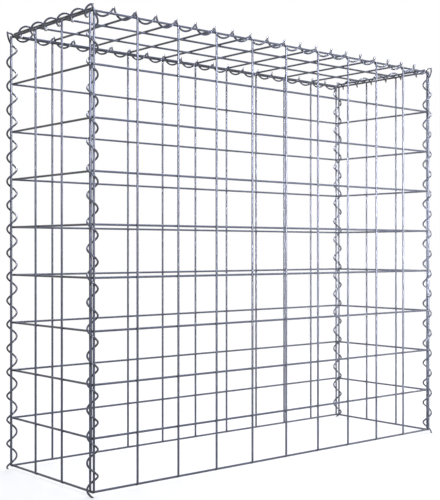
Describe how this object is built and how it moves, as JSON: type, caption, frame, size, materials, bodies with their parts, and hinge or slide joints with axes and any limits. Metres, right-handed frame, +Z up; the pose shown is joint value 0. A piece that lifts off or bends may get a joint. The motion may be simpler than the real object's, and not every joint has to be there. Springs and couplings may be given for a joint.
{
  "type": "gabion basket",
  "caption": "Empty welded-mesh gabion basket with a mesh lid and an open bottom, its panels laced together along the edges with wire spirals.",
  "frame": {"origin": "on the ground, under the middle of the basket", "axes": "+Z up, +X along the length of the wall, +Y from the front panel to the back panel"},
  "size_m": [1.0266, 0.332, 0.9235],
  "materials": {
    "mesh_wire": "zinc-aluminium coated, dull",
    "lacing_wire": "zinc-aluminium coated, dull"
  },
  "bodies": {
    "root": {"front_panel": "mesh_wire", "back_panel": "mesh_wire", "left_end_panel": "mesh_wire", "right_end_panel": "mesh_wire", "lid_panel": "mesh_wire", "corner_spiral_front_left": "lacing_wire", "corner_spiral_front_right": "lacing_wire", "corner_spiral_back_left": "lacing_wire", "corner_spiral_back_right": "lacing_wire", "lid_spiral_front": "lacing_wire", "lid_spiral_back": "lacing_wire", "lid_spiral_left": "lacing_wire", "lid_spiral_right": "lacing_wire"}
  },
  "joints": []
}
